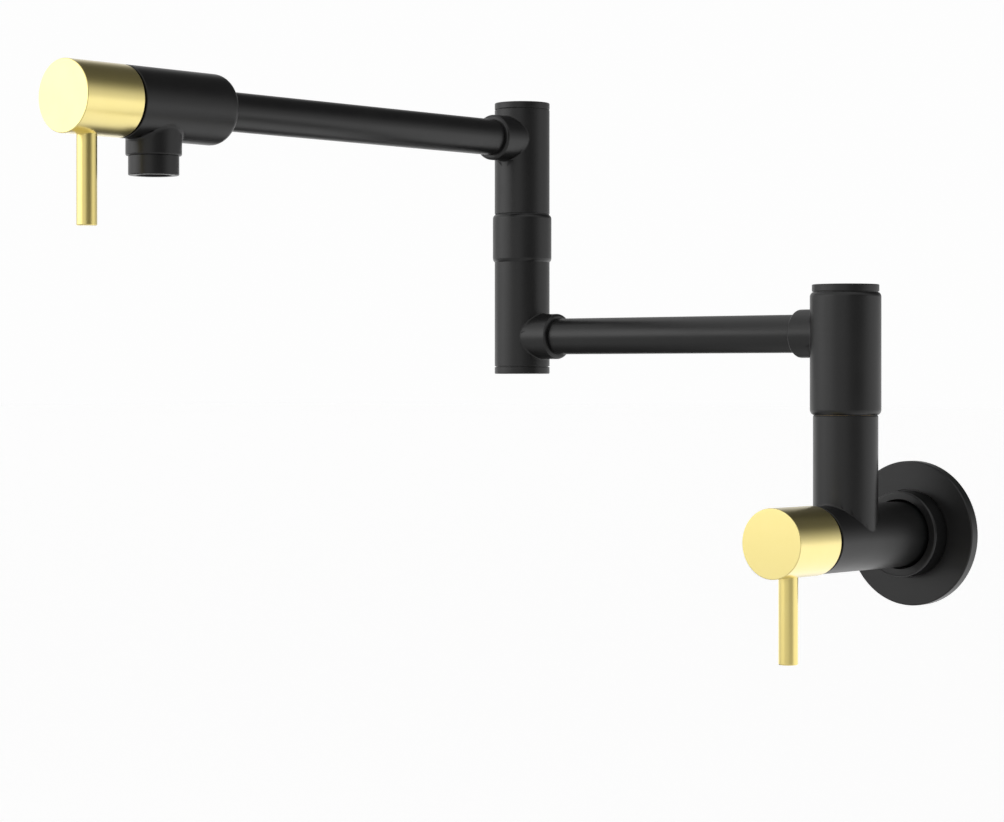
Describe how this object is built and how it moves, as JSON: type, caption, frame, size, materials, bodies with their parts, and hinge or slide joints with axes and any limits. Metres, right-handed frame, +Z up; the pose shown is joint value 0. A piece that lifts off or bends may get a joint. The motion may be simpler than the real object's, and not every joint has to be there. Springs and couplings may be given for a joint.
{
  "type": "wall mounted pot filler",
  "caption": "Kitchen tap fixed to the wall above a hob, with jointed horizontal arms that fold along the wall and a lever valve at each end.",
  "frame": {"origin": "on the wall plane, on the axis of the inlet thread, at the thread's root", "axes": "+Y points into the wall along the inlet thread, -Y into the room, +Z up, and the first arm lies towards -X"},
  "size_m": [0.2492, 0.3852, 0.2719],
  "materials": {
    "black_finish": "matte black coating on brass",
    "gold_finish": "satin brushed gold",
    "raw_brass": "machined",
    "rubber": "smooth",
    "ceramic": "lapped ceramic",
    "acetal": "moulded",
    "steel": "plain"
  },
  "bodies": {
    "wall_side": {"wall_gasket": "rubber", "escutcheon": "black_finish", "escutcheon_o_ring": "rubber", "inlet_adapter": "raw_brass", "adapter_o_rings": "rubber", "adapter_lock_screws": "steel", "valve_body": "black_finish", "inlet_headwork": "raw_brass", "inlet_seat_seal": "rubber", "inlet_fixed_disc": "ceramic", "inlet_headwork_ring": "rubber", "riser_post": "raw_brass", "riser_post_o_rings": "rubber", "riser_glide_washer": "acetal", "riser_top_washer": "acetal", "riser_nut": "steel", "riser_dust_ring": "rubber"},
    "inlet_handle": {"inlet_stem": "raw_brass", "inlet_stem_o_ring": "rubber", "inlet_moving_disc": "ceramic", "inlet_knob": "gold_finish", "inlet_lever": "gold_finish", "inlet_knob_screw": "steel"},
    "arm_1": {"riser_sleeve": "black_finish", "riser_cap": "black_finish", "arm_1_tube": "black_finish", "elbow_lower_barrel": "black_finish", "elbow_bottom_cap": "black_finish", "elbow_bottom_ring": "rubber", "elbow_collar": "black_finish", "elbow_lower_washer": "acetal", "elbow_upper_washer": "acetal", "elbow_dust_ring": "rubber"},
    "arm_2": {"elbow_spigot": "raw_brass", "elbow_spigot_o_rings": "rubber", "elbow_upper_barrel": "black_finish", "elbow_top_cap": "black_finish", "elbow_top_ring": "rubber", "arm_2_tube": "black_finish", "outlet_head": "black_finish", "outlet_headwork": "raw_brass", "outlet_seat_seal": "rubber", "outlet_fixed_disc": "ceramic", "outlet_headwork_ring": "rubber", "aerator_housing": "black_finish", "aerator_insert": "acetal", "aerator_washer": "rubber"},
    "outlet_handle": {"outlet_stem": "raw_brass", "outlet_stem_o_ring": "rubber", "outlet_moving_disc": "ceramic", "outlet_knob": "gold_finish", "outlet_lever": "gold_finish", "outlet_knob_screw": "steel"}
  },
  "joints": [
    {"name": "riser_swivel", "type": "hinge", "parent": "wall_side", "child": "arm_1", "pos_m": [0, -0.0608, 0.0962], "axis": [0, 0, 1], "range_deg": [0, 180]},
    {"name": "elbow_swivel", "type": "hinge", "parent": "arm_1", "child": "arm_2", "pos_m": [-0.198, -0.0608, 0.159], "axis": [0, 0, 1], "continuous": true},
    {"name": "inlet_valve", "type": "hinge", "parent": "wall_side", "child": "inlet_handle", "pos_m": [0, -0.088, 0], "axis": [0, -1, 0], "range_deg": [0, 90]},
    {"name": "outlet_valve", "type": "hinge", "parent": "arm_2", "child": "outlet_handle", "pos_m": [-0.198, -0.3358, 0.1973], "axis": [0, -1, 0], "range_deg": [0, 90]}
  ]
}
